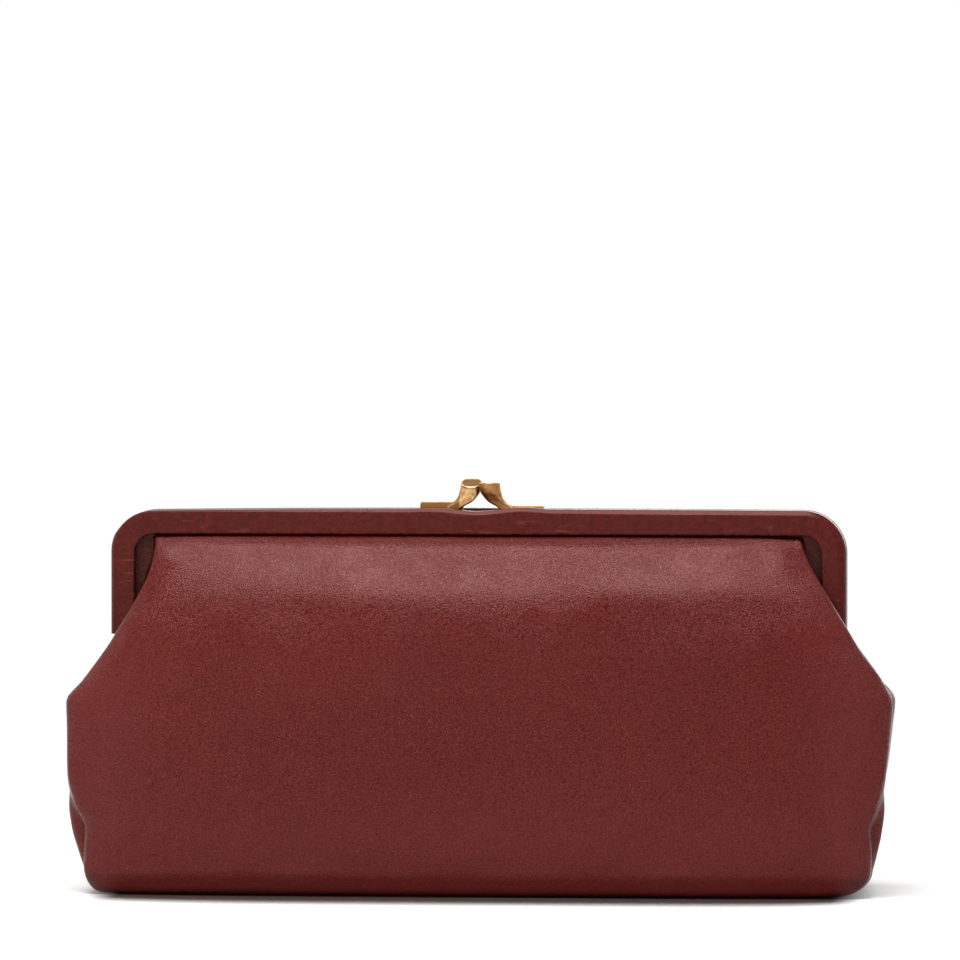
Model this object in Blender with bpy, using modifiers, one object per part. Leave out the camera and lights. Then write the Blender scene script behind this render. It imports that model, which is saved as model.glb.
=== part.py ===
"""Pochette: a leather evening bag on a hinged clasp frame, closed and standing on its base.

Lengths are in metres. X runs across the bag, Y from front to back and Z up. The origin lies on the floor
under the middle of the bag. Every front piece has a like piece at the back, so one function makes both
halves: side is -1 for the front and +1 for the back.
"""

import math

import bmesh
import bpy
import numpy as np

MM = 0.001

# Bag body
body_half_width = 137.3 * MM
body_half_depth = 31 * MM
leather = 1.0 * MM
lining = 0.5 * MM
lining_gap = 1.2 * MM
seam_gap = 0.3 * MM
base_round_side = 7.5 * MM
base_round_front = 9 * MM

# Base board between leather and lining
board_side_room = 19.3 * MM
board_front_room = 17 * MM
board_thickness = 1.5 * MM
board_corner = 6 * MM

# Frame, measured over its leather cover
frame_half_width = 122.8 * MM
frame_top = 127.7 * MM
frame_band = 8.2 * MM
frame_outer_radius = 14.3 * MM
frame_inner_radius = 6.5 * MM
cover_leather = 1.0 * MM
steel = 0.8 * MM
slit_half = 1.6 * MM
channel_room = 3.4 * MM
inner_setback = 0.4 * MM
arm_lift = 8 * MM

# Fits between neighbours
gap = 0.3 * MM
channel_gap = 0.25 * MM
cord_radius = 0.45 * MM
cord_end_gap = 3 * MM
edge_gap = 0.4 * MM
bend_gap = 1.0 * MM
overrun = 2 * MM

# Hinge
hinge_height = 78 * MM
lug_radius = 3 * MM
lug_thickness = 1.0 * MM
lug_grip = 4 * MM
lug_half_stem = 1.0 * MM
lug_inset = 3.8 * MM
hinge_shank_radius = 1.5 * MM
hinge_head_radius = 2.8 * MM
hinge_head = 1.0 * MM
valley_gap = 2.7 * MM

# Clasp horns
clasp_offset = 1.2 * MM
disc_radius = 3.6 * MM
horn_split = 0.15 * MM
horn_height = 8.9 * MM
horn_rim = 0.5 * MM
horn_dish = 0.35 * MM
foot_thickness = 1.0 * MM
foot_start = 6.4 * MM
foot_length = 14.5 * MM
foot_rise = 2.5 * MM
foot_depth = 6.2 * MM
foot_round = 0.3 * MM
clasp_rivet_radius = 0.8 * MM
clasp_rivet_depth = 3.2 * MM
clasp_rivet_end = 0.15 * MM
clasp_rivet_flare = 0.12 * MM
clasp_rivet_shares = (0.28, 0.76)

# Horn sections: height over the frame, distance of the centre from the split, half width, half thickness and
# lean as shares of the horn's height or of the disc's radius, then the tilt in degrees and the squareness
horn_shares = (
    (-0.08, 2.33, 0.44, 0.12, 0.00, 0, 8.0),
    (0.24, 1.81, 0.67, 0.28, 0.14, 6, 4.6),
    (0.45, 1.42, 0.83, 0.58, 0.42, 14, 3.0),
    (0.69, 1.14, 0.96, 0.90, 0.64, 21, 2.3),
    (0.95, 1.00, 1.00, 1.00, 0.74, 24, 2.0),
)

# Body sections below the hinge. The height is a share of the hinge's. The widths of the side seam, valley,
# fold and crest are shares of the way from the hinge's inner side out to the body's half width, and the
# shoulder's is a share of the crest's. Then come six depths from the valley to the centre, as shares of the
# body's half depth.
lower_row_shares = (
    (0.115, (0.650, 0.686, 0.697, 0.660), 0.925, (0.160, 0.330, 0.500, 0.806, 0.900, 0.903)),
    (0.256, (0.762, 0.803, 0.830, 0.798), 0.911, (0.160, 0.330, 0.520, 0.855, 0.935, 0.945)),
    (0.513, (0.762, 0.848, 0.915, 0.879), 0.906, (0.130, 0.310, 0.484, 0.855, 0.977, 0.990)),
    (0.718, (0.605, 0.758, 0.955, 0.955), 0.895, (0.113, 0.290, 0.435, 0.839, 0.977, 1.000)),
    (0.820, (0.426, 0.632, 0.906, 0.996), 0.882, (0.113, 0.274, 0.420, 0.823, 0.968, 0.997)),
    (0.910, (0.157, 0.291, 0.605, 0.816), 0.890, (0.130, 0.290, 0.452, 0.806, 0.945, 0.977)),
    (0.974, (0.013, 0.050, 0.291, 0.641), 0.893, (0.140, 0.306, 0.477, 0.790, 0.923, 0.958)),
)

# Two sections between the hinge and the arms' ends, the height as a share of that stretch. The first two
# depths, of the edge and the bend, are shares of the leather's depth in the frame.
hinge_row_shares = (
    (0.25, (0.000, 0.000, 0.090, 0.507), 0.899, (0.300, 1.000), (0.306, 0.490, 0.774, 0.900, 0.935)),
    (0.75, (0.000, -0.050, -0.020, 0.372), 0.904, (0.800, 1.100), (0.310, 0.494, 0.748, 0.871, 0.913)),
)

# Body sections between the frame's arms, the height as a share of the arms' opening. The crest lies outside
# the opening's half width by a share of what the body has there, or inside it by a share of the corner's
# radius. The depths of the crest, shoulder, middle and centre are shares of the way from the frame's leather
# to the front.
upper_row_shares = (
    (0.060, 0.256, 0.00, (0.383, 0.665, 0.807, 0.857)),
    (0.240, 0.080, 0.00, (0.329, 0.599, 0.738, 0.788)),
    (0.420, 0.000, 0.20, (0.268, 0.518, 0.649, 0.688)),
    (0.627, 0.000, 0.77, (0.214, 0.403, 0.491, 0.522)),
    (0.806, 0.000, 1.07, (0.152, 0.260, 0.302, 0.318)),
    (0.910, 0.000, 1.11, (0.098, 0.141, 0.156, 0.164)),
    (0.973, 0.000, 1.13, (0.033, 0.044, 0.048, 0.048)),
)
upper_shoulder_share = 0.912
middle_width_share = 0.5
wrap_share = 0.42
seam_share = 0.92

# How finely the soft pieces are drawn: steps between their control points, and the height of a row
panel_steps = (1, 2, 3, 3, 3, 2)
panel_row = 9 * MM
lining_steps = (1, 1, 1, 1, 2, 1)
lining_row = 16 * MM
base_round_steps = 4
corner_steps = 8
board_corner_steps = 5
rod_sides = 16
rivet_sides = 14
horn_sides = 16
horn_steps = 3
weld = 0.01 * MM

# Worked out from the sizes above
arm_end = hinge_height + arm_lift
hinge_half_span = frame_half_width - lug_inset
valley_half = hinge_half_span - gap - hinge_head - valley_gap
board_half_width = body_half_width - board_side_room
board_half_depth = body_half_depth - board_front_room
frame_inner_half = frame_half_width - frame_band
frame_inner_top = frame_top - frame_band
steel_half_width = frame_half_width - cover_leather - gap
steel_top = frame_top - cover_leather - gap
steel_radius = frame_outer_radius - cover_leather - gap
wall_inner = slit_half + steel
wall_outer = wall_inner + channel_room
steel_front = wall_outer + steel
cover_front = steel_front + gap + cover_leather
cord_depth = wall_inner + channel_gap + cord_radius
lining_depth = cord_depth + cord_radius + channel_gap + lining / 2
leather_depth = lining_depth + lining / 2 + channel_gap + leather / 2
lining_inset = (leather + lining) / 2 + lining_gap
foot_front = slit_half - gap - foot_thickness

bag = bpy.data.collections.new("pochette")
cutters = bpy.data.collections.new("cutters")


def clear_scene():
    for obj in list(bpy.data.objects):
        bpy.data.objects.remove(obj, do_unlink=True)
    bpy.context.scene.collection.children.link(bag)
    bpy.context.scene.collection.children.link(cutters)
    cutters.hide_render = True


def material(name, colour, roughness, metallic=0.0):
    """A Principled material, its colour given in linear light."""
    made = bpy.data.materials.new(name)
    made.use_nodes = True
    shader = made.node_tree.nodes["Principled BSDF"]
    shader.inputs["Base Color"].default_value = (*colour, 1.0)
    shader.inputs["Roughness"].default_value = roughness
    shader.inputs["Metallic"].default_value = metallic
    made.diffuse_color = (*colour, 1.0)
    return made


def add(name, mesh, look=None):
    """A visible piece in the bag's collection."""
    obj = bpy.data.objects.new(name, mesh)
    bag.objects.link(obj)
    if look:
        mesh.materials.append(look)
    return obj


def as_cutter(obj):
    for collection in list(obj.users_collection):
        collection.objects.unlink(obj)
    cutters.objects.link(obj)
    obj.hide_render = True
    obj.display_type = "WIRE"
    return obj


def combine(obj, other, operation):
    """An exact Boolean of a piece with a helper, which is kept with the cutters."""
    as_cutter(other)
    step = obj.modifiers.new(f"{operation.lower()} {other.name}", "BOOLEAN")
    step.operation = operation
    step.solver = "EXACT"
    step.object = other
    return obj


def smooth(mesh, angle=math.radians(40)):
    mesh.shade_smooth()
    mesh.set_sharp_from_angle(angle=angle)


def mesh_of(name, build):
    """A mesh from a function that fills a bmesh."""
    mesh = bpy.data.meshes.new(name)
    bm = bmesh.new()
    build(bm)
    bmesh.ops.recalc_face_normals(bm, faces=bm.faces)
    bm.to_mesh(mesh)
    bm.free()
    return mesh


def box(name, low, high):
    """A closed box between two corners."""

    def build(bm):
        bmesh.ops.create_cube(bm, size=1.0)
        for vertex in bm.verts:
            for axis in range(3):
                middle = (low[axis] + high[axis]) / 2
                vertex.co[axis] = middle + vertex.co[axis] * (high[axis] - low[axis])

    return mesh_of(name, build)


def rod(name, radius, length, turn):
    """A cylinder about its own centre, lying along X or Y."""
    mesh = mesh_of(
        name,
        lambda bm: bmesh.ops.create_cone(
            bm, cap_ends=True, segments=rod_sides, radius1=radius, radius2=radius, depth=length
        ),
    )
    obj = add(name, mesh)
    obj.rotation_euler = turn
    return obj


ALONG_X = (0, math.pi / 2, 0)
ALONG_Y = (math.pi / 2, 0, 0)


def arc(centre_x, centre_z, radius, start, end):
    """Points of an arc in the plane of the frame, the angles in degrees."""
    turn = (end - start) / corner_steps
    angles = [math.radians(start + turn * i) for i in range(corner_steps + 1)]
    return [(centre_x + radius * math.cos(a), centre_z + radius * math.sin(a)) for a in angles]


def door(half_width, top, radius, bottom):
    """A door outline: up the left side, over the round corners and down the right side."""
    left = arc(radius - half_width, top - radius, radius, 180, 90)
    right = arc(half_width - radius, top - radius, radius, 90, 0)
    return [(-half_width, bottom), *left, *right, (half_width, bottom)]


def plate(name, outline, near, far, side):
    """A flat outline in the XZ plane, as a closed solid between two depths on one side of the bag."""
    curve = bpy.data.curves.new(name, "CURVE")
    curve.dimensions = "2D"
    curve.fill_mode = "BOTH"
    curve.extrude = (far - near) / 2
    spline = curve.splines.new("POLY")
    spline.points.add(len(outline) - 1)
    for point, (x, z) in zip(spline.points, outline):
        point.co = (x, z, 0, 1)
    spline.use_cyclic_u = True
    drawn = bpy.data.objects.new(name, curve)
    bag.objects.link(drawn)
    drawn.rotation_euler = ALONG_Y
    drawn.location.y = side * (near + far) / 2
    bpy.context.view_layer.update()
    mesh = bpy.data.meshes.new_from_object(drawn.evaluated_get(bpy.context.evaluated_depsgraph_get()))
    mesh.transform(drawn.matrix_world)
    bpy.data.objects.remove(drawn, do_unlink=True)
    bm = bmesh.new()
    bm.from_mesh(mesh)
    bmesh.ops.remove_doubles(bm, verts=bm.verts, dist=weld)
    bmesh.ops.recalc_face_normals(bm, faces=bm.faces)
    bm.to_mesh(mesh)
    bm.free()
    mesh.materials.clear()
    return mesh


def band(half_width, top, radius, inner_half, inner_top, inner_radius, bottom):
    """The outline of a door-shaped band of even width."""
    inside = door(inner_half, inner_top, inner_radius, bottom)
    return door(half_width, top, radius, bottom) + inside[::-1]


def turned(name, profile, look):
    """A solid of revolution about its local Z, from (radius, height) points, top to bottom."""
    mesh = bpy.data.meshes.new(name)
    mesh.from_pydata([(r, 0, z) for r, z in profile], [(i, i + 1) for i in range(len(profile) - 1)], [])
    obj = add(name, mesh, look)
    screw = obj.modifiers.new("turn", "SCREW")
    screw.axis = "Z"
    screw.steps = screw.render_steps = rivet_sides
    screw.use_merge_vertices = True
    screw.merge_threshold = weld
    screw.use_smooth_shade = True
    return obj


def steps_between(values, shares):
    """Monotone cubic through the values, so that no row overshoots its neighbours. Returns a function."""
    spans = [b - a for a, b in zip(shares, shares[1:])]
    slopes = [(b - a) / s for a, b, s in zip(values, values[1:], spans)]
    bends = [slopes[0]]
    for left, right in zip(slopes, slopes[1:]):
        bends.append(0.0 if left * right <= 0 else 2 * left * right / (left + right))
    bends.append(slopes[-1])

    def at(share):
        i = next((k for k in range(len(spans) - 1) if share < shares[k + 1]), len(spans) - 1)
        t = (share - shares[i]) / spans[i]
        rise = values[i + 1] - values[i]
        start, end = bends[i] * spans[i], bends[i + 1] * spans[i]
        square, cube = 3 * rise - 2 * start - end, start + end - 2 * rise
        return values[i] + start * t + square * t**2 + cube * t**3

    return at


def through(xs, ys, counts):
    """A smooth row through its control points to the centre line, with a number of steps for each span."""
    points = [*zip(xs, ys), (-xs[-2], ys[-2])]
    lengths = [0]
    for a, b in zip(points, points[1:]):
        lengths.append(lengths[-1] + math.dist(a, b))
    x_at = steps_between([x for x, _ in points], lengths)
    y_at = steps_between([y for _, y in points], lengths)
    marks = [0]
    for start, end, count in zip(lengths, lengths[1:], counts):
        marks += [start + (end - start) * k / count for k in range(1, count + 1)]
    return [(x_at(mark), y_at(mark)) for mark in marks]


def inner_edge(height):
    """Half width of the frame's opening at a height, with its round upper corner."""
    over = max(0, height - (frame_inner_top - frame_inner_radius))
    drop = math.sqrt(max(0, frame_inner_radius**2 - over**2))
    return frame_inner_half - frame_inner_radius + drop


def channel_end(height):
    """Half width that the panel's edge reaches inside the steel channel at a height."""
    radius = steel_radius - steel - edge_gap
    over = max(0, height - (steel_top - steel_radius))
    return steel_half_width - steel_radius + math.sqrt(max(0, radius**2 - over**2))


def key_rows(is_lining):
    """Control points (height, seven x, seven depths) of a panel or its lining, from the base round up."""
    inset = lining_inset if is_lining else 0
    held_depth = lining_depth if is_lining else leather_depth
    centre_line = [middle_width_share * body_half_width, 0]
    outward = body_half_width - valley_half

    def set_in(z, xs, depths, least):
        xs = [x - inset for x in xs]
        if is_lining:
            xs[1:4] = [min(x, xs[0], xs[1]) for x in xs[1:4]]
        return z, xs + centre_line, [max(least, y - inset) for y in depths]

    rows = []
    for height, widths, shoulder, shares in lower_row_shares:
        xs = [valley_half + share * outward for share in widths]
        depths = [0, *(share * body_half_depth for share in shares)]
        rows.append(set_in(height * hinge_height, [*xs, shoulder * xs[-1]], depths, 0))
    for height, widths, shoulder, held, shares in hinge_row_shares:
        z = hinge_height + height * (arm_end - hinge_height)
        xs = [valley_half + share * outward for share in widths]
        depths = [share * leather_depth for share in held] + [share * body_half_depth for share in shares]
        rows.append(set_in(z, [*xs, shoulder * xs[-1]], depths, 0))
    for height, out, inside, shares in upper_row_shares:
        z = arm_end + height * (frame_inner_top - arm_end)
        crest = frame_inner_half + out * (body_half_width - frame_inner_half) - inside * frame_inner_radius
        depths = [leather_depth + share * (body_half_depth - leather_depth) for share in shares]
        bend = inner_edge(z) - bend_gap
        wrap = min(bend - gap, (bend + crest) / 2)
        wrap_depth = leather_depth + wrap_share * (depths[0] - leather_depth)
        xs = [channel_end(z) + inset, bend, wrap, crest, upper_shoulder_share * crest]
        rows.append(set_in(z, xs, [held_depth, held_depth, wrap_depth, *depths], held_depth))
    kept = rows[-1][1][3:]
    for z in (frame_inner_top + inner_setback, steel_top - steel - edge_gap):
        third = (channel_end(z) - kept[0]) / 3
        rows.append((z, [channel_end(z), channel_end(z) - third, kept[0] + third, *kept], [held_depth] * 7))
    return rows


def body_rows(is_lining):
    """Rows of points of half a panel, from the bottom seam up to the channel, as (x, depth, z)."""
    if is_lining:
        floor = leather + gap + board_thickness + gap + lining / 2
        counts, row_height, base_steps = lining_steps, lining_row, base_round_steps // 2
    else:
        floor = leather / 2
        counts, row_height, base_steps = panel_steps, panel_row, base_round_steps
    keys = key_rows(is_lining)
    heights = [row[0] for row in keys]
    rows = []
    columns = [steps_between([row[1][i] for row in keys], heights) for i in range(7)]
    depths = [steps_between([row[2][i] for row in keys], heights) for i in range(7)]
    for low, high in zip(heights, heights[1:]):
        steps = max(1, round((high - low) / row_height))
        for k in range(steps):
            z = low + (high - low) * k / steps
            row = through([x(z) for x in columns], [y(z) for y in depths], counts)
            rows.append([(x, y, z) for x, y in row])
    rows.append([(x, y, heights[-1]) for x, y in through(*keys[-1][1:], counts)])

    # The base round: the lowest section shrinks along a quarter of an ellipse until it lies flat
    first = rows[0]
    rise = heights[0] - floor
    for k in range(1, base_steps + 1):
        angle = math.pi / 2 * k / base_steps
        inward = 1 - math.cos(angle)
        z = floor + rise * (1 - math.sin(angle))
        wide = 1 - base_round_side * inward / first[0][0]
        deep = 1 - base_round_front * inward / first[-1][1]
        rows.insert(0, [(x * wide, y * deep, z) for x, y, _ in first])

    # The flat bottom: the outline closes in on the seam that runs under the middle
    outline = rows[0]
    lengths = [0]
    for a, b in zip(outline, outline[1:]):
        lengths.append(lengths[-1] + math.dist(a, b))
    seam = [(seam_share * outline[0][0] * (1 - s / lengths[-1]), 0, floor) for s in lengths]
    for share in (0.5, 1.0):
        rows.insert(0, [tuple(a + (b - a) * share for a, b in zip(p, q)) for p, q in zip(outline, seam)])
    return rows


def sheet(name, points, thickness, outward, look):
    """A closed sheet about a grid of points. At the seams and the top edge its rim stays square to them."""
    normals = np.cross(np.gradient(points, axis=1), np.gradient(points, axis=0))
    normals *= np.sign(normals[len(points) // 2, points.shape[1] // 2, 1]) * outward
    on_seam = abs(points[:, :, 1]) <= seam_gap
    normals[on_seam, 1] = 0
    normals[0] = (0, 0, -1)
    normals[-1, :, 2] = 0
    normals /= np.linalg.norm(normals, axis=2, keepdims=True)
    layers = [points + normals * thickness / 2, points - normals * thickness / 2]

    def build(bm):
        outer, inner = [[[bm.verts.new(point) for point in row] for row in layer] for layer in layers]
        for layer in (outer, inner):
            for low, high in zip(layer, layer[1:]):
                for i in range(len(low) - 1):
                    bm.faces.new((low[i], low[i + 1], high[i + 1], high[i]))
        left = [[row[0] for row in layer] for layer in (outer, inner)]
        right = [[row[-1] for row in layer] for layer in (outer, inner)]
        for near, far in ((outer[0], inner[0]), (outer[-1], inner[-1]), left, right):
            for i in range(len(near) - 1):
                bm.faces.new((near[i], near[i + 1], far[i + 1], far[i]))

    mesh = mesh_of(name, build)
    smooth(mesh)
    return add(name, mesh, look)


def body_piece(name, side, is_lining, look):
    """A panel or a lining: a loft of unlike sections, mirrored to full width and given its thickness."""
    full = []
    for row in body_rows(is_lining):
        half = [(x, side * max(y, seam_gap / 2), z) for x, y, z in row]
        full.append([(-x, y, z) for x, y, z in half] + half[-2::-1])
    sheet(name, np.array(full), lining if is_lining else leather, side, look)


def base_board(look):
    """The stiffener that lies on the leather bottom, under the lining."""
    low = leather + gap
    high = low + board_thickness
    mesh = box(
        "base_board", (-board_half_width, -board_half_depth, low), (board_half_width, board_half_depth, high)
    )
    obj = add("base_board", mesh, look)
    bm = bmesh.new()
    bm.from_mesh(mesh)
    upright = [e for e in bm.edges if abs(e.verts[0].co.z - e.verts[1].co.z) > board_thickness / 2]
    bmesh.ops.bevel(
        bm, geom=upright, offset=board_corner, offset_type="OFFSET", segments=board_corner_steps,
        profile=0.5, affect="EDGES",
    )
    bm.to_mesh(mesh)
    bm.free()
    return obj


def steel_frame(half, side, look):
    """One half of the frame: a folded channel, open inwards, with a hinge lug at each arm's end."""
    outline = band(
        steel_half_width, steel_top, steel_radius,
        frame_inner_half + inner_setback, frame_inner_top + inner_setback, frame_inner_radius, arm_end,
    )
    frame = add(f"{half}_frame", plate(f"{half}_frame", outline, slit_half, steel_front, side), look)
    slot = door(steel_half_width - steel, steel_top - steel, steel_radius - steel, arm_end - overrun)
    combine(frame, add(f"{half}_slot", plate("slot", slot, wall_inner, wall_outer, side)), "DIFFERENCE")
    layer = 0 if side < 0 else lug_thickness + gap
    for sign, name in ((-1, "left"), (1, "right")):
        near = hinge_half_span + layer
        middle = sign * (near + lug_thickness / 2)
        disc = rod(f"{half}_{name}_lug", lug_radius, lug_thickness, ALONG_X)
        disc.location = (middle, 0, hinge_height)
        combine(frame, disc, "UNION")
        ends = sorted((sign * near, sign * (near + lug_thickness)))
        depths = sorted((side * (slit_half + steel / 2), side * (slit_half - lug_half_stem)))
        stem = box(
            "stem", (ends[0], depths[0], hinge_height), (ends[1], depths[1], arm_end + lug_grip)
        )
        combine(frame, add(f"{half}_{name}_stem", stem), "UNION")
        hole = rod(f"{half}_{name}_hole", hinge_shank_radius + gap, lug_thickness + overrun, ALONG_X)
        hole.location = (middle, 0, hinge_height)
        combine(frame, hole, "DIFFERENCE")
    return frame


def frame_cover(half, side, look):
    """The leather over the front wall and the top of a channel."""
    outline = band(
        frame_half_width, frame_top, frame_outer_radius,
        frame_inner_half, frame_inner_top, frame_inner_radius, arm_end,
    )
    cover = add(f"{half}_frame_cover", plate("cover", outline, slit_half, cover_front, side), look)
    room = door(steel_half_width + gap, steel_top + gap, steel_radius + gap, arm_end - overrun)
    inside = plate("room", room, slit_half - overrun, steel_front + gap, side)
    return combine(cover, add(f"{half}_cover_room", inside), "DIFFERENCE")


def channel_cord(half, side, look):
    """The paper cord that wedges leather and lining in the channel."""
    middle = (frame_inner_half + inner_setback + steel_half_width - steel) / 2
    top = (frame_inner_top + inner_setback + steel_top - steel) / 2
    radius = (frame_inner_radius + steel_radius) / 2
    curve = bpy.data.curves.new("cord", "CURVE")
    curve.dimensions = "3D"
    curve.bevel_depth = cord_radius
    curve.bevel_resolution = 2
    curve.use_fill_caps = True
    points = door(middle, top, radius, arm_end + cord_end_gap)
    spline = curve.splines.new("POLY")
    spline.points.add(len(points) - 1)
    for point, (x, z) in zip(spline.points, points):
        point.co = (x, side * cord_depth, z, 1)
    curve.materials.append(look)
    obj = bpy.data.objects.new(f"{half}_channel_cord", curve)
    bag.objects.link(obj)
    return obj


def horn_rings():
    """Rings of a horn at the back of the bag: a flat strip grows into a tilted disc with a rim and a dish."""
    controls = [horn_shares[0], *horn_shares, horn_shares[-1]]
    sections = [horn_shares[0]]
    for i in range(len(horn_shares) - 1):
        before, start, end, after = controls[i : i + 4]
        for k in range(1, horn_steps + 1):
            t = k / horn_steps
            sections.append([
                (2 * t**3 - 3 * t**2 + 1) * b + (t**3 - 2 * t**2 + t) * (c - a) / 2
                + (3 * t**2 - 2 * t**3) * c + (t**3 - t**2) * (d - b) / 2
                for a, b, c, d in zip(before, start, end, after)
            ])
    foot_middle = foot_front + foot_thickness / 2

    def ring(section, shrink=0, lift=0):
        rise, offset, wide, thick, lean, tilt, square = section
        tilt = math.radians(tilt)
        centre = (
            clasp_offset - horn_split - offset * disc_radius,
            foot_middle - lean * disc_radius - lift * math.sin(tilt),
            frame_top + rise * horn_height + lift * math.cos(tilt),
        )
        found = []
        for i in range(horn_sides):
            angle = 2 * math.pi * i / horn_sides
            c, s = math.cos(angle), math.sin(angle)
            across = math.copysign(abs(c) ** (2 / square), c) * (wide * disc_radius - shrink)
            through_depth = math.copysign(abs(s) ** (2 / square), s) * (thick * disc_radius - shrink)
            found.append((
                centre[0] + across,
                centre[1] + through_depth * math.cos(tilt),
                centre[2] + through_depth * math.sin(tilt),
            ))
        return found

    rings = [ring(section) for section in sections]
    rings.append(ring(sections[-1], 0, horn_rim))
    rings.append(ring(sections[-1], horn_rim / 2, horn_rim + horn_rim / 4))
    rings.append(ring(sections[-1], horn_rim, horn_rim))
    rings.append(ring(sections[-1], horn_rim + horn_dish, horn_rim - horn_dish))
    return rings


def clasp_horn(half, side, look):
    """A brass horn on its foot strip. The front one is the back one turned round the clasp's middle."""
    rings = horn_rings()

    def build(bm):
        loops = [[bm.verts.new(point) for point in ring] for ring in rings]
        count = len(rings[0])
        for low, high in zip(loops, loops[1:]):
            for i in range(count):
                j = (i + 1) % count
                bm.faces.new((low[i], low[j], high[j], high[i]))
        bm.faces.new(loops[0][::-1])
        bm.faces.new(loops[-1])

    mesh = mesh_of(f"{half}_clasp_horn", build)
    foot_end = clasp_offset - foot_start
    foot = box(
        "foot",
        (foot_end - foot_length, foot_front, frame_top - foot_depth),
        (foot_end, foot_front + foot_thickness, frame_top + foot_rise),
    )
    pieces = [mesh, foot]
    if side < 0:
        for piece in pieces:
            for vertex in piece.vertices:
                vertex.co.x = 2 * clasp_offset - vertex.co.x
                vertex.co.y = -vertex.co.y
    horn = add(f"{half}_clasp_horn", mesh, look)
    smooth(mesh)
    strip = add(f"{half}_foot_strip", foot)
    rounding = strip.modifiers.new("round", "BEVEL")
    rounding.width = foot_round
    rounding.segments = 2
    combine(horn, strip, "UNION")
    return horn


def clasp_rivets(half, side, horn, frame, look):
    """Two flush rivets that hold the horn's foot to the inner wall of its channel, with their holes."""
    grip = wall_inner - foot_front
    end = grip / 2 - clasp_rivet_end
    neck = end - 2 * clasp_rivet_flare
    flare = clasp_rivet_radius + clasp_rivet_flare
    profile = [
        (0, end), (flare, end), (clasp_rivet_radius, neck),
        (clasp_rivet_radius, -neck), (flare, -end), (0, -end),
    ]
    rivets = []
    for number, share in enumerate(clasp_rivet_shares, 1):
        x = clasp_offset - side * (foot_start + share * foot_length)
        place = (x, side * (foot_front + grip / 2), frame_top - foot_depth + clasp_rivet_depth)
        hole = rod(f"{half}_rivet_hole_{number}", clasp_rivet_radius + gap, grip + overrun, ALONG_Y)
        hole.location = place
        combine(horn, hole, "DIFFERENCE")
        combine(frame, hole, "DIFFERENCE")
        rivet = turned(f"{half}_clasp_rivet_{number}", profile, look)
        rivet.rotation_euler = ALONG_Y
        rivet.location = place
        rivets.append(rivet)
    return rivets


def hinge_rivet(name, sign, look):
    """A rivet through both lugs, with a domed head on each side, lying along X on the hinge axis."""
    inner = hinge_half_span - gap
    outer = hinge_half_span + 2 * lug_thickness + 2 * gap
    middle = (inner + outer) / 2
    half = (outer - inner) / 2
    dome = [
        (hinge_head_radius * math.sin(math.radians(a)), half + hinge_head * math.cos(math.radians(a)))
        for a in (0, 30, 60, 90)
    ]
    upper = dome + [(hinge_shank_radius, half)]
    profile = upper + [(r, -z) for r, z in reversed(upper)]
    rivet = turned(name, profile, look)
    rivet.rotation_euler = ALONG_X
    rivet.location = (sign * middle, 0, hinge_height)


def pivot(name):
    """An empty on the hinge axis that a frame half turns about."""
    empty = bpy.data.objects.new(name, None)
    bag.objects.link(empty)
    empty.location = (0, 0, hinge_height)
    empty.empty_display_size = lug_radius
    return empty


def hang(empty, pieces):
    """Parents the pieces of a frame half to its pivot, where they stand."""
    bpy.context.view_layer.update()
    for piece in pieces:
        piece.parent = empty
        piece.matrix_parent_inverse = empty.matrix_world.inverted()


def main():
    clear_scene()
    hide = material("pebbled leather", (0.150, 0.024, 0.022), 0.42)
    smooth_hide = material("frame leather", (0.115, 0.020, 0.018), 0.38)
    cloth = material("lining cloth", (0.110, 0.062, 0.045), 0.85)
    board = material("base board", (0.240, 0.180, 0.120), 0.9)
    dark_steel = material("frame steel", (0.200, 0.190, 0.180), 0.4, 1.0)
    brass = material("antique brass", (0.400, 0.235, 0.110), 0.35, 1.0)
    paper = material("paper cord", (0.420, 0.330, 0.220), 0.9)

    base_board(board)
    for sign, name in ((-1, "left"), (1, "right")):
        hinge_rivet(f"{name}_hinge_rivet", sign, brass)
    for side, half in ((-1, "front"), (1, "back")):
        body_piece(f"{half}_panel", side, False, hide)
        body_piece(f"{half}_lining", side, True, cloth)
        frame = steel_frame(half, side, dark_steel)
        horn = clasp_horn(half, side, brass)
        rivets = clasp_rivets(half, side, horn, frame, brass)
        cover = frame_cover(half, side, smooth_hide)
        cord = channel_cord(half, side, paper)
        hang(pivot(f"{half}_half"), [frame, horn, cover, cord, *rivets])


main()
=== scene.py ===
"""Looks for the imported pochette: its leather, lining, covered frame and clasp, with floor, light and camera.

Lengths are in metres. X runs across the bag, Y from front to back and Z up. Side is -1 for the front half and
+1 for the back half; hand is -1 for the left end and +1 for the right end, as seen from the front.
"""

import math

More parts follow.
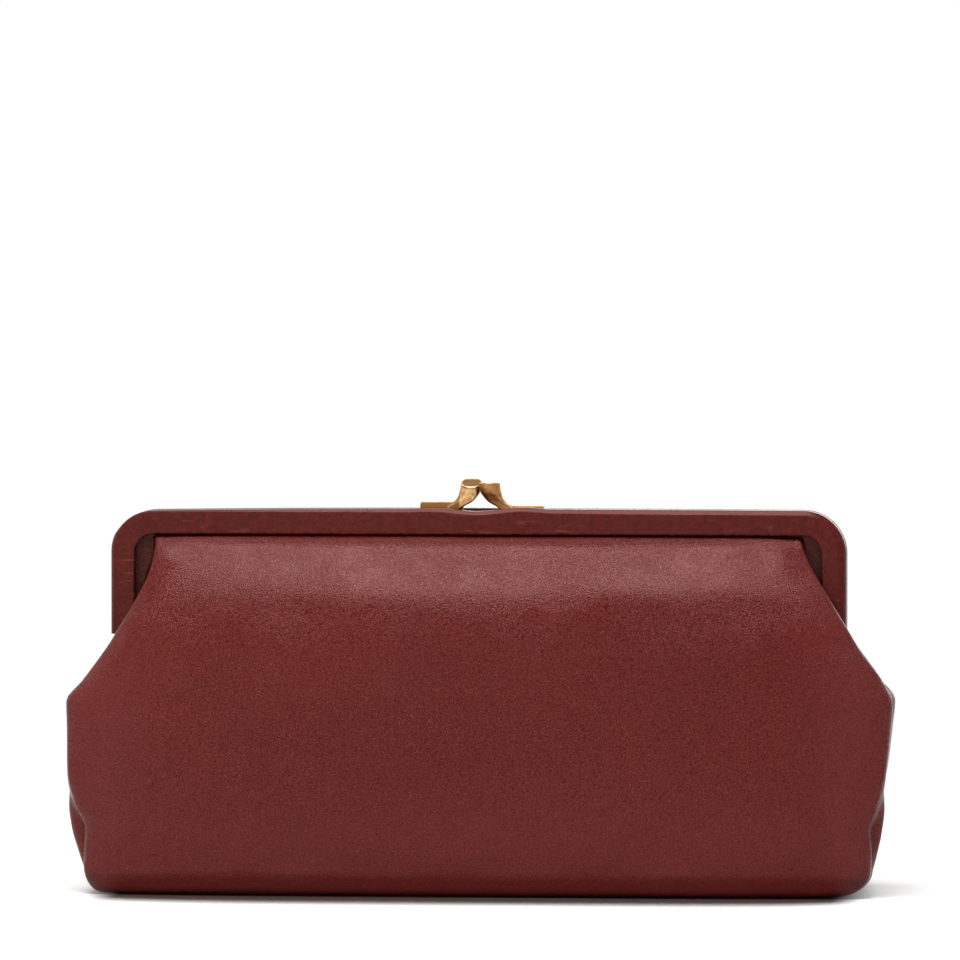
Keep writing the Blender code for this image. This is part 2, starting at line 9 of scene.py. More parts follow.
import bmesh
import bpy
import numpy as np
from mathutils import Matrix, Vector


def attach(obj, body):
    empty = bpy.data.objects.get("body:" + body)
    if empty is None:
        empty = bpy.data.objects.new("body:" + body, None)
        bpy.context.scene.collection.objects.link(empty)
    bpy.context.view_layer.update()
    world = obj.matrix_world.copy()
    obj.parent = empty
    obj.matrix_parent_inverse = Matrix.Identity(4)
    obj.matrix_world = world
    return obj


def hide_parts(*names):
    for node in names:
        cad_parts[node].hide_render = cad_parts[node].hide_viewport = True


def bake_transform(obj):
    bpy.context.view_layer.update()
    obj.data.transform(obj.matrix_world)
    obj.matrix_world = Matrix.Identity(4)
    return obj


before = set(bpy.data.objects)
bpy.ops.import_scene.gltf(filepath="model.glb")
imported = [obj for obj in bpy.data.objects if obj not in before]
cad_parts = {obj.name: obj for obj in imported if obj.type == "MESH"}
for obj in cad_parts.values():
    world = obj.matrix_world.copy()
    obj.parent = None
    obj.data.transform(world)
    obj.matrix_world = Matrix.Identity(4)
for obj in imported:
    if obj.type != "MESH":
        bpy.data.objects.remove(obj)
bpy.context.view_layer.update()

MM = 0.001
HALVES = ((-1, "front"), (1, "back"))

# Leather and lining of the body
leather = 1.0 * MM
lining = 0.5 * MM
lining_inset = 1.95 * MM
lining_clearance = 1.0 * MM
lining_floor = 3.35 * MM
held_lining = 4.05 * MM
seam_gap = 0.06 * MM
seam_groove = 0.9 * MM
seam_groove_width = 3.2 * MM
groove_below_hinge = 4 * MM
groove_fade = 6 * MM
base_round_side = {-1: 5.6 * MM, 1: 12.5 * MM}
base_round_front = 9 * MM
base_steps = 9
row_height = 1.6 * MM
lining_row_height = 4 * MM
span_steps = (5, 5, 4, 4, 4, 9, 24, 30)
lining_span_steps = (2, 2, 2, 2, 2, 4, 8, 10)
seam_share = 0.92
bottom_shares = (0.25, 0.5, 0.75, 1.0)
sharp_edge = math.radians(50)

# Slight waves all over the leather, in mm
wave_count = 14
wave_lengths = (26, 80)
wave_height = 0.07
wave_bottom = 3
wave_top = 117
wave_fade = 8

# Frame and its leather
frame_half_width = 122.8 * MM
frame_top = 127.7 * MM
frame_band = 8.2 * MM
frame_outer_radius = 14.3 * MM
frame_inner_radius = 6.5 * MM
cover_leather = 1.0 * MM
slit_half = 1.6 * MM
cover_lip = 0.7 * MM
cover_rise = 0.35 * MM
cover_left_drop = 0.6 * MM
cover_top_zone = 9 * MM
cover_top_fade = 3 * MM
cover_left_end = -90 * MM
cover_change = 150 * MM
cover_wave_depth = 6 * MM
cover_wave_fade = 1.9 * MM
cover_wave_share = 0.6
cover_rise_reach = 1.5
slit_round = 0.3 * MM
inside_round = 0.2 * MM
cover_front = 7.9 * MM
arm_end = 86 * MM
hinge_height = 78 * MM
door_arm_points = 26
door_corner_points = 15
door_top_points = 150

# Clasp
clasp_middle = 1.2 * MM
disc_radius = 3.6 * MM
horn_split = 0.15 * MM
horn_height = 8.9 * MM
horn_rim = 0.5 * MM
horn_dish = 0.35 * MM
foot_thickness = 1.0 * MM
foot_start = 6.4 * MM
foot_length = 14.5 * MM
foot_rise = {-1: 1.5 * MM, 1: 2.5 * MM}
foot_depth = 6.2 * MM
foot_front = 0.3 * MM
strip_round = 0.9 * MM
strip_round_steps = 5
horn_voxel = 0.11 * MM
horn_smoothing = 0.5
horn_smoothing_rounds = 5
foot_wear_and_light_margin = 1.2 * MM
face_inset = 0.95 * horn_rim
wear_gain = 4.0
wear_rounds = 3
crossing = 1.35 * MM

# Body sections in mm: height; x of side seam, valley, fold, crest and shoulder; depths of the side seam,
# valley, fold, crest, shoulder, middle and centre
BODY_ROWS = (
    (9.0, (129.0, 130.0, 129.6, 130.6, 120.0), (0.0, 5.0, 11.5, 20.5, 25.0, 27.9, 28.0)),
    (15.0, (130.0, 131.0, 129.8, 130.4, 120.6), (0.0, 5.0, 11.8, 21.0, 25.8, 28.5, 28.8)),
    (22.0, (131.0, 132.2, 130.6, 131.0, 121.2), (0.0, 5.0, 11.4, 21.2, 26.5, 29.1, 29.5)),
    (30.0, (131.6, 133.2, 132.6, 133.2, 121.6), (0.0, 4.6, 10.4, 20.8, 26.5, 29.8, 30.2)),
    (40.0, (131.2, 133.2, 134.0, 135.0, 121.9), (0.0, 4.0, 9.6, 20.2, 26.5, 30.3, 30.7)),
    (56.0, (128.0, 131.4, 135.2, 136.9, 122.0), (0.0, 3.5, 9.0, 18.8, 26.0, 30.3, 31.0)),
    (64.0, (124.0, 128.8, 134.6, 137.9, 121.0), (0.0, 3.5, 8.5, 17.9, 25.5, 30.0, 30.9)),
    (71.0, (118.5, 121.5, 127.6, 132.8, 118.5), (0.0, 4.0, 9.0, 17.8, 25.0, 29.3, 30.3)),
    (76.0, (115.3, 116.1, 121.0, 129.6, 115.5), (0.0, 4.3, 9.5, 17.9, 24.5, 28.6, 29.7)),
    (80.0, (115.0, 115.0, 117.0, 126.5, 113.5), (1.5, 5.1, 9.5, 18.0, 24.0, 27.9, 29.0)),
    (84.0, (115.0, 113.9, 113.8, 123.6, 111.5), (4.0, 5.4, 8.6, 17.4, 23.2, 27.0, 28.3)),
    (88.0, (120.3, 113.6, 112.8, 120.7, 109.8), (5.1, 4.6, 7.2, 17.4, 22.3, 26.0, 27.3)),
    (94.0, (120.3, 113.6, 112.2, 117.3, 106.2), (5.1, 4.3, 5.8, 16.4, 20.6, 24.2, 25.5)),
    (100.1, (120.3, 113.6, 111.8, 114.8, 103.3), (5.1, 4.2, 5.0, 15.0, 18.5, 21.9, 22.9)),
    (107.0, (120.3, 113.6, 110.4, 110.8, 100.0), (5.1, 4.2, 4.5, 13.2, 15.5, 17.8, 18.6)),
    (113.0, (120.3, 113.4, 108.6, 108.2, 98.2), (5.1, 4.3, 4.4, 10.6, 12.1, 13.2, 13.6)),
    (116.5, (120.3, 112.4, 108.6, 107.4, 97.9), (5.1, 4.5, 4.5, 8.8, 9.9, 10.4, 10.6)),
    (118.6, (119.8, 110.4, 108.8, 107.3, 97.8), (5.1, 4.9, 4.9, 6.0, 6.4, 6.6, 6.7)),
    (119.9, (119.3, 115.3, 111.3, 107.3, 97.8), (5.1, 5.1, 5.1, 5.1, 5.1, 5.1, 5.1)),
    (125.2, (110.8, 109.6, 108.4, 107.3, 97.8), (5.1, 5.1, 5.1, 5.1, 5.1, 5.1, 5.1)),
)
middle_x = 68.65

# The front's folds lie unevenly: (height, left crest's x, right crest's x) in mm
FRONT_CRESTS = (
    (9.0, 129.6, 130.8), (15.0, 129.2, 131.2), (22.0, 129.0, 131.0), (30.0, 132.6, 133.6),
    (40.0, 135.2, 136.0), (56.0, 135.9, 137.5), (64.0, 136.3, 138.0), (67.0, 134.3, 136.9),
    (71.0, 131.0, 135.2), (76.0, 127.2, 132.0), (80.0, 124.2, 128.9), (84.0, 121.4, 126.2),
    (88.0, 118.9, 123.8), (94.0, 115.1, 120.0), (100.1, 111.7, 116.3), (107.0, 108.5, 112.0),
    (113.0, 107.1, 109.0), (116.5, 107.0, 107.6),
)

# Low at its ends the front is tucked: (height, left fold's x, right fold's x, depth of both, and how far back
# and in from the crest the tuck reaches) in mm
FRONT_TUCKS = (
    (9.0, 130.4, 131.4, 14.5, 1.8, 0.2), (15.0, 132.1, 133.0, 15.5, 2.7, 0.7),
    (22.0, 133.9, 134.6, 16.5, 2.4, 0.4), (30.0, 134.9, 135.6, 16.8, 1.3, -0.5),
    (40.0, 134.6, 135.2, 13.0, 1.5, -0.1),
)

# The front's right crest lies deeper near the frame
right_tuck = 2.6 * MM
right_shoulder_tuck = 1.1 * MM
right_tuck_height = 111 * MM
right_tuck_spread = 7 * MM

# The cover's section: width and depth of its sloping outer edge, then the rounds behind and before the slope
ARM_SECTION = (1.7 * MM, 1.7 * MM, 1.1 * MM, 1.1 * MM)
LEFT_TOP_SECTION = (0.8 * MM, 0.6 * MM, 0.3 * MM, 0.25 * MM)
RIGHT_TOP_SECTION = (1.6 * MM, 1.1 * MM, 0.3 * MM, 0.25 * MM)
FRONT_FACE_SHARES = (0.38, 0.5, 0.62, 0.76, 0.88)

# The dent and the humps of the front cover by the clasp: x, half width and height
COVER_DENTS = (
    (-0.4 * MM, 11 * MM, -0.8 * MM),
    (15.5 * MM, 9 * MM, 0.6 * MM),
    (-16 * MM, 8 * MM, 0.25 * MM),
)

# Shallow waves of the covers' front: height in mm, mm for each radian across and up, and start in radians
COVER_WAVES = ((0.10, 9.3, math.inf, 1.1), (0.07, 4.1, 5.7, 0.0))

# How the leather turns over the crest in mm: height, then x and depth from the crest to a point behind it,
# and x and depth to a point in front of it
CREST_TURNS = (
    (9.0, (0.0, -1.3), (-0.8, 1.2)), (22.0, (0.0, -1.3), (-0.8, 1.4)), (40.0, (0.2, -1.5), (-0.9, 1.8)),
    (64.0, (-0.5, -2.0), (-1.2, 2.2)), (76.0, (-1.2, -1.6), (-0.9, 1.6)), (88.0, (-1.1, -1.5), (-1.0, 1.3)),
    (100.1, (-0.7, -1.6), (-1.3, 1.0)), (113.0, (-0.1, -1.6), (-1.6, 0.7)), (118.6, (0.5, -0.2), (-2.0, 0.1)),
    (119.9, (0.8, 0.0), (-2.0, 0.0)), (125.2, (0.3, 0.0), (-2.0, 0.0)),
)

# Soft dents and swells of the leather in mm: x, height, half width, half height, how far out
FRONT_SWELLS = (
    (-103.0, 112.8, 4.5, 3.6, 1.4), (101.5, 110.5, 6.0, 6.0, 0.5), (-88.0, 12.0, 6.0, 14.0, -0.5),
    (-74.0, 10.0, 5.0, 12.0, 0.35), (-60.0, 14.0, 8.0, 12.0, -0.25), (118.0, 22.0, 5.0, 16.0, -0.5),
    (108.0, 30.0, 6.0, 18.0, 0.3), (-118.0, 30.0, 5.0, 18.0, -0.35), (64.0, 16.0, 12.0, 12.0, -0.3),
    (-20.0, 98.0, 26.0, 7.0, 0.35), (46.0, 101.0, 20.0, 6.0, 0.3), (-58.0, 94.0, 16.0, 6.0, -0.3),
    (78.0, 66.0, 22.0, 16.0, -0.35), (-92.0, 62.0, 22.0, 20.0, -0.3), (88.0, 94.0, 10.0, 8.0, -0.3),
)
BACK_SWELLS = (
    (-100.0, 111.0, 6.0, 6.0, 0.5), (101.0, 112.0, 5.0, 5.0, 0.7), (84.0, 14.0, 7.0, 14.0, -0.5),
    (-112.0, 26.0, 6.0, 16.0, -0.4), (-40.0, 12.0, 10.0, 12.0, -0.3), (30.0, 99.0, 24.0, 7.0, 0.35),
    (-62.0, 96.0, 20.0, 6.0, 0.3), (66.0, 60.0, 24.0, 18.0, -0.35), (-84.0, 64.0, 20.0, 18.0, -0.3),
)


# Curves and sheets


def smooth_curve(marks, values):
    """Monotone cubic through the values, so that nothing overshoots. Returns a function of an array."""
    marks = np.asarray(marks, float)
    values = np.asarray(values, float)
    spans = np.diff(marks)
    slopes = np.diff(values) / spans
    left, right = slopes[:-1], slopes[1:]
    total = np.where(left * right > 0, left + right, 1.0)
    inner = np.where(left * right > 0, 2 * left * right / total, 0.0)
    bends = np.concatenate(([slopes[0]], inner, [slopes[-1]]))

    def at(points):
        i = np.clip(np.searchsorted(marks, points, side="right") - 1, 0, len(spans) - 1)
        t = (points - marks[i]) / spans[i]
        rise = values[i + 1] - values[i]
        start, end = bends[i] * spans[i], bends[i + 1] * spans[i]
        return values[i] + start * t + (3 * rise - 2 * start - end) * t**2 + (start + end - 2 * rise) * t**3

    return at


def control_rows(side, hand, is_lining):
    """Control points of one quarter of the body: heights, and a row of x and of depths for each height."""
    heights = np.array([row[0] for row in BODY_ROWS]) * MM
    xs = np.array([row[1] for row in BODY_ROWS]) * MM
    depths = np.array([row[2] for row in BODY_ROWS]) * MM
    if side < 0:
        marks = [row[0] * MM for row in FRONT_CRESTS]
        crest = smooth_curve(marks, [row[1 if hand < 0 else 2] * MM for row in FRONT_CRESTS])
        inside = (heights >= marks[0]) & (heights <= marks[-1])
        xs[inside, 3] = crest(heights[inside])
        if hand > 0:
            tuck = np.exp(-(((heights - right_tuck_height) / right_tuck_spread) ** 2))
            depths[:, 3] -= right_tuck * tuck
            depths[:, 4] -= right_shoulder_tuck * tuck
    marks = [row[0] * MM for row in CREST_TURNS]
    behind_x, behind_depth, before_x, before_depth = (
        smooth_curve(marks, [row[part][axis] * MM for row in CREST_TURNS])(heights)
        for part, axis in ((1, 0), (1, 1), (2, 0), (2, 1))
    )
    if side < 0:
        for height, left_fold, right_fold, fold_depth, tuck_back, tuck_in in FRONT_TUCKS:
            row = int(np.argmin(abs(heights - height * MM)))
            xs[row, 2] = (left_fold if hand < 0 else right_fold) * MM
            depths[row, 2] = fold_depth * MM
            behind_x[row] = -tuck_in * MM
            behind_depth[row] = -tuck_back * MM
    crest, crest_depth = xs[:, 3], depths[:, 3]
    middle = np.full(len(heights), middle_x * MM)
    xs = np.column_stack([
        xs[:, 0], xs[:, 1], xs[:, 2], crest + behind_x, crest, crest + before_x, xs[:, 4], middle, 0 * middle,
    ])
    depths = np.column_stack([
        depths[:, 0], depths[:, 1], depths[:, 2], crest_depth + behind_depth, crest_depth,
        crest_depth + before_depth, depths[:, 4], depths[:, 5], depths[:, 6],
    ])
    if is_lining:
        xs[:, :7] -= lining_inset
        xs[:, 1:6] = np.minimum(xs[:, 1:6], np.minimum(xs[:, :1], xs[:, 1:2]))
        held = heights >= arm_end
        close = np.minimum(depths - lining_clearance, held_lining)
        depths = np.maximum(depths - lining_inset, np.where(held[:, None], close, 0))
    return heights, xs, depths


def quarter(side, hand, is_lining):
    """A quarter of the body as a grid of (x, depth, z), bottom seam to top and side to centre."""
    heights, xs, depths = control_rows(side, hand, is_lining)
    step = lining_row_height if is_lining else row_height
    floor = lining_floor if is_lining else leather / 2
    counts = lining_span_steps if is_lining else span_steps
    levels = [heights[0]]
    for low, high in zip(heights, heights[1:]):
        parts = max(1, round((high - low) / step))
        levels += [low + (high - low) * k / parts for k in range(1, parts + 1)]
    levels = np.array(levels)
    x_columns = np.column_stack([smooth_curve(heights, column)(levels) for column in xs.T])
    depth_columns = np.column_stack([smooth_curve(heights, column)(levels) for column in depths.T])
    rows = []
    for z, across, deep in zip(levels, x_columns, depth_columns):
        across = np.append(across, -across[-2])
        deep = np.append(deep, deep[-2])
        lengths = np.concatenate(([0], np.cumsum(np.hypot(np.diff(across), np.diff(deep)) + 1e-6)))
        marks = [0.0]
        for start, end, count in zip(lengths, lengths[1:], counts):
            marks += [start + (end - start) * k / count for k in range(1, count + 1)]
        marks = np.array(marks)
        row = [smooth_curve(lengths, values)(marks) for values in (across, deep)]
        rows.append(np.column_stack([*row, np.full(len(marks), z)]))

    # The base round: the lowest section shrinks along a quarter of an ellipse until it lies flat
    first = rows[0]
    below = []
    for k in range(1, base_steps + 1):
        angle = math.pi / 2 * k / base_steps
        inward = 1 - math.cos(angle)
        row = first.copy()
        row[:, 0] *= 1 - base_round_side[hand] * inward / first[0, 0]
        row[:, 1] *= 1 - base_round_front * inward / first[-1, 1]
        row[:, 2] = floor + (heights[0] - floor) * (1 - math.sin(angle))
        below.append(row)

    # The flat bottom closes in on the seam under the middle
    outline = below[-1]
    along = np.concatenate(([0], np.cumsum(np.linalg.norm(np.diff(outline, axis=0), axis=1))))
    seam = np.zeros_like(outline)
    seam[:, 0] = seam_share * outline[0, 0] * (1 - along / along[-1])
    seam[:, 2] = floor
    for share in bottom_shares:
        below.append(outline + (seam - outline) * share)
    return np.array(below[::-1] + rows)


def normals_of(points, side):
    """Unit normals of a grid, away from the bag's middle."""
    normals = np.cross(np.gradient(points, axis=1), np.gradient(points, axis=0))
    normals *= np.sign(normals[len(points) // 2, points.shape[1] // 2, 1]) * side
    return normals / np.maximum(np.linalg.norm(normals, axis=2, keepdims=True), 1e-12)


def relief(points, swells, seed):
    """How far out the leather stands at each point: named swells and a slight unevenness all over."""
    x, z = points[:, :, 0] / MM, points[:, :, 2] / MM
    out = np.zeros_like(x)
    for centre_x, centre_z, wide, high, amount in swells:
        out += amount * np.exp(-(((x - centre_x) / wide) ** 2) - ((z - centre_z) / high) ** 2)
    rng = np.random.default_rng(seed)
    for _ in range(wave_count):
        length = rng.uniform(*wave_lengths)
        angle = rng.uniform(0, math.pi)
        phase = rng.uniform(0, 2 * math.pi)
        along = x * math.cos(angle) + z * math.sin(angle)
        out += wave_height * np.sin(2 * math.pi * along / length + phase)
    fade = np.clip((z - wave_bottom) / wave_fade, 0, 1) * np.clip((wave_top - z) / wave_fade, 0, 1)
    return out * fade * MM


def sheet(name, points, thickness, side, look):
    """A closed sheet about a grid of points, with square rims."""
    normals = normals_of(points, side)
    on_seam = abs(points[:, :, 1]) <= seam_gap
    normals[on_seam, 1] = 0
    normals[0] = (0, 0, -1)
    normals[-1, :, 2] = 0
    normals /= np.linalg.norm(normals, axis=2, keepdims=True)
    layers = np.array([points + normals * thickness / 2, points - normals * thickness / 2])
    rows, columns = points.shape[:2]
    index = np.arange(2 * rows * columns).reshape(2, rows, columns)
    outer, inner = index
    quads = []
    for layer in (outer, inner[:, ::-1]):
        corners = (layer[:-1, :-1], layer[:-1, 1:], layer[1:, 1:], layer[1:, :-1])
        quads.append(np.stack(corners, axis=-1).reshape(-1, 4))
    rims = (
        (outer[0], inner[0]), (inner[-1], outer[-1]),
        (inner[:, 0], outer[:, 0]), (outer[:, -1], inner[:, -1]),
    )
    for near, far in rims:
        quads.append(np.stack((near[:-1], far[:-1], far[1:], near[1:]), axis=-1))
    mesh = bpy.data.meshes.new(name)
    mesh.from_pydata(layers.reshape(-1, 3).tolist(), [], np.concatenate(quads).tolist())
    return piece(name, mesh, look)


def piece(name, mesh, look):
    """Adds a mesh to the scene with outward normals, smooth shading and its material."""
    bm = bmesh.new()
    bm.from_mesh(mesh)
    bmesh.ops.recalc_face_normals(bm, faces=bm.faces)
    bm.to_mesh(mesh)
    bm.free()
    mesh.shade_smooth()
    mesh.set_sharp_from_angle(angle=sharp_edge)
    mesh.materials.append(look)
    obj = bpy.data.objects.new(name, mesh)
    bpy.context.scene.collection.objects.link(obj)
    return obj


def body_grid(side, is_lining):
    """The whole panel or lining as a grid, from its left to its right side seam."""
    left = quarter(side, -1, is_lining)
    right = quarter(side, 1, is_lining)
    left[:, :, 0] *= -1
    grid = np.concatenate([left, right[:, -2::-1]], axis=1)
    grid[:, :, 1] = side * np.maximum(grid[:, :, 1], seam_gap / 2)
    return grid


def soft_piece(half, side, kind, look):
    """A panel or a lining, shaped from the bag's bottom up into its frame half."""
    is_lining = kind == "lining"
    grid = body_grid(side, is_lining)
    if not is_lining:
        swells, seed = (FRONT_SWELLS, 5) if side < 0 else (BACK_SWELLS, 11)
        grid += normals_of(grid, side) * relief(grid, swells, seed)[:, :, None]
        grid[:, :, 1] = side * np.maximum(side * grid[:, :, 1], seam_gap / 2)
        near_seam = np.clip(1 - abs(grid[:, :, 1]) / seam_groove_width, 0, 1) ** 2
        below_hinge = np.clip((hinge_height - groove_below_hinge - grid[:, :, 2]) / groove_fade, 0, 1)
        above_base = np.clip(grid[:, :, 2] / groove_fade, 0, 1)
        grid[:, :, 0] -= np.sign(grid[:, :, 0]) * seam_groove * near_seam * below_hinge * above_base
    obj = sheet(f"{half}_{kind}_soft", grid, lining if is_lining else leather, side, look)
    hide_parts(f"{half}_{kind}")
    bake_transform(obj)


# Frame covers


def door_points(half_width, top, radius):
    """A door outline with a fixed count of points: up the left arm, over the top and down the right arm."""
    arm = np.linspace(arm_end, top - radius, door_arm_points)[:-1]
    corner = np.linspace(0, math.pi / 2, door_corner_points)
    across = np.linspace(radius - half_width, half_width - radius, door_top_points)[1:-1]
    left_arm = [(-half_width, z) for z in arm]
    left = [(radius - half_width - radius * math.cos(a), top - radius + radius * math.sin(a)) for a in corner]
    over = [(x, top) for x in across]
    right = [(-x, z) for x, z in reversed(left)]
    right_arm = [(half_width, z) for z in reversed(arm)]
    return np.array(left_arm + left + over + right + right_arm)


def rounded(corners, steps=6):
    """A section polygon with each corner (across, depth, radius) rounded."""
    points = []
    count = len(corners)
    for i, (across, depth, radius) in enumerate(corners):
        here = np.array((across, depth))
        before = np.array(corners[i - 1][:2]) - here
        after = np.array(corners[(i + 1) % count][:2]) - here
        if radius == 0:
            points.append(here)
            continue
        start = here + before / np.linalg.norm(before) * radius
        end = here + after / np.linalg.norm(after) * radius
        for k in range(steps + 1):
            t = k / steps
            points.append((1 - t) ** 2 * start + 2 * t * (1 - t) * here + t**2 * end)
    return points


def bump(values, centre, half_width):
    """A smooth hump from 0 to 1 and back over the given half width."""
    t = np.clip(abs(values - centre) / half_width, 0, 1)
    return (1 - t * t) ** 2


def cover_section(edge_width, edge_depth, top_round, front_round):
    """The cover's L-shaped section as (across, depth) points, with the given slope along its outer edge."""
    inner_face = cover_front - cover_leather
    steps_across = [(frame_band * share, cover_front, 0) for share in FRONT_FACE_SHARES]
    return rounded([
        (0, slit_half, slit_round), (0, (slit_half + cover_front) / 2, 0),
        (0, cover_front - edge_depth, top_round), (edge_width, cover_front, front_round),
        *steps_across, (frame_band, cover_front, cover_lip), (frame_band, inner_face, inside_round),
        (cover_leather + cover_lip, inner_face, 0), (cover_leather, slit_half, 0),
    ])


def cover(half, side, look):
    """The leather over a frame half: an L-shaped section led round the door, with dents by the clasp."""
    on_arms = cover_section(*ARM_SECTION)
    on_left_top = cover_section(*LEFT_TOP_SECTION)
    on_right_top = cover_section(*RIGHT_TOP_SECTION)
    rim = door_points(frame_half_width, frame_top, frame_outer_radius)
    topness = np.clip((rim[:, 1] - (frame_top - frame_outer_radius)) / frame_outer_radius, 0, 1)
    rightness = np.clip((rim[:, 0] - cover_left_end) / cover_change, 0, 1)
    loops = []
    for arm_point, left_point, right_point in zip(on_arms, on_left_top, on_right_top):
        paths = []
        for across, depth in (arm_point, left_point, right_point):
            radius = frame_outer_radius + (frame_inner_radius - frame_outer_radius) * across / frame_band
            outline = door_points(frame_half_width - across, frame_top - across, radius)
            paths.append(np.column_stack((outline, np.full(len(outline), depth))))
        on_top = paths[1] + (paths[2] - paths[1]) * rightness[:, None]
        x, z, depth = (paths[0] + (on_top - paths[0]) * topness[:, None]).T
        share = left_point[0] / frame_band
        near_top = np.clip((z - (frame_top - cover_top_zone)) / cover_top_fade, 0, 1)
        near_top *= 1 - min(1, share * cover_rise_reach)
        rise = cover_rise * (1 - (x / frame_half_width) ** 2)
        outermost = max(0, 1 - left_point[0] / cover_leather)
        rise -= cover_left_drop * np.clip(-x / frame_half_width, 0, 1) ** 2 * outermost
        if side < 0:
            for centre, half_width, amount in COVER_DENTS:
                rise += amount * bump(x, centre, half_width)
        front = np.clip((depth - cover_wave_depth) / cover_wave_fade, 0, 1)
        wave = sum(
            high * np.sin(x / MM / across + z / MM / up + start) for high, across, up, start in COVER_WAVES
        )
        deep = depth + front * wave * MM * cover_wave_share
        loops.append(np.column_stack((x, side * deep, z + rise * near_top)))
    loops = np.array(loops)
    count, length = loops.shape[:2]
    index = np.arange(count * length).reshape(count, length)
    after = np.roll(index, -1, axis=0)
    corners = (index[:, :-1], after[:, :-1], after[:, 1:], index[:, 1:])
    quads = np.stack(corners, axis=-1).reshape(-1, 4).tolist()
    quads += [index[:, 0].tolist(), index[::-1, -1].tolist()]
    mesh = bpy.data.meshes.new(f"{half}_cover")
    mesh.from_pydata(loops.reshape(-1, 3).tolist(), [], quads)
    obj = piece(f"{half}_cover", mesh, look)
    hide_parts(f"{half}_frame_cover")
    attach(obj, f"{half}_half")


# Clasp horns

# Sections: height over the frame as a share of the horn's height, then offset of the middle, half width, half
# thickness and lean as shares of the disc's radius, tilt in degrees and squareness
HORN_ROWS = (
    (-0.10, 2.80, 0.40, 0.30, 0.15, 0, 6.0),
    (0.10, 2.45, 0.75, 0.32, 0.15, 0, 6.0),
    (0.28, 1.765, 0.835, 0.38, 0.12, 5, 4.4),
    (0.45, 1.39, 0.87, 0.52, 0.00, 11, 3.0),
    (0.66, 1.14, 0.98, 0.78, -0.24, 18, 2.3),
    (0.84, 1.04, 0.99, 0.96, -0.36, 23, 2.1),
    (0.95, 1.00, 1.00, 1.00, -0.40, 24, 2.0),
)
disc_share, disc_lean, disc_tilt = HORN_ROWS[-1][0], HORN_ROWS[-1][4], HORN_ROWS[-1][5]

# The disc's rolled rim as (inward, upward) shares of its width. The last one is also lowered by the dish
HORN_EDGE = ((0, 0.7), (0.12, 0.95), (0.5, 1.1), (0.95, 0.95), (1.1, 0.5), (1.4, 1.0))
# Added to the stored wear on each side's foot and horn: partly wear, partly painted light and shade that set
# how bright each looks.
foot_and_horn_wear_and_light = {-1: (0.02, -0.17), 1: (-0.46, 0.12)}
tilt_share = {-1: 0.08, 1: 1.0}
lean_share = {-1: 0.25, 1: 1.0}
horn_sides = 56
horn_rows_fine = 26


def horn_ring(section, side, shrink=0.0, lift=0.0):
    """One ring of points round a horn, drawn in by shrink and raised by lift along its tilted axis."""
    rise, offset, wide, thick, lean, tilt, square = section
    tilt = math.radians(tilt) * tilt_share[side]
    angles = np.linspace(0, 2 * math.pi, horn_sides, endpoint=False)
    c, s = np.cos(angles), np.sin(angles)
    across = np.sign(c) * abs(c) ** (2 / square) * (wide * disc_radius - shrink)
    deep = np.sign(s) * abs(s) ** (2 / square) * (thick * disc_radius - shrink)
    middle = foot_front + foot_thickness / 2
    x = clasp_middle - horn_split - offset * disc_radius + across
    y = middle - lean * lean_share[side] * disc_radius - lift * math.sin(tilt) + deep * math.cos(tilt)
    z = frame_top + rise * horn_height + lift * math.cos(tilt) + deep * math.sin(tilt)
    return np.column_stack((x, y, z))


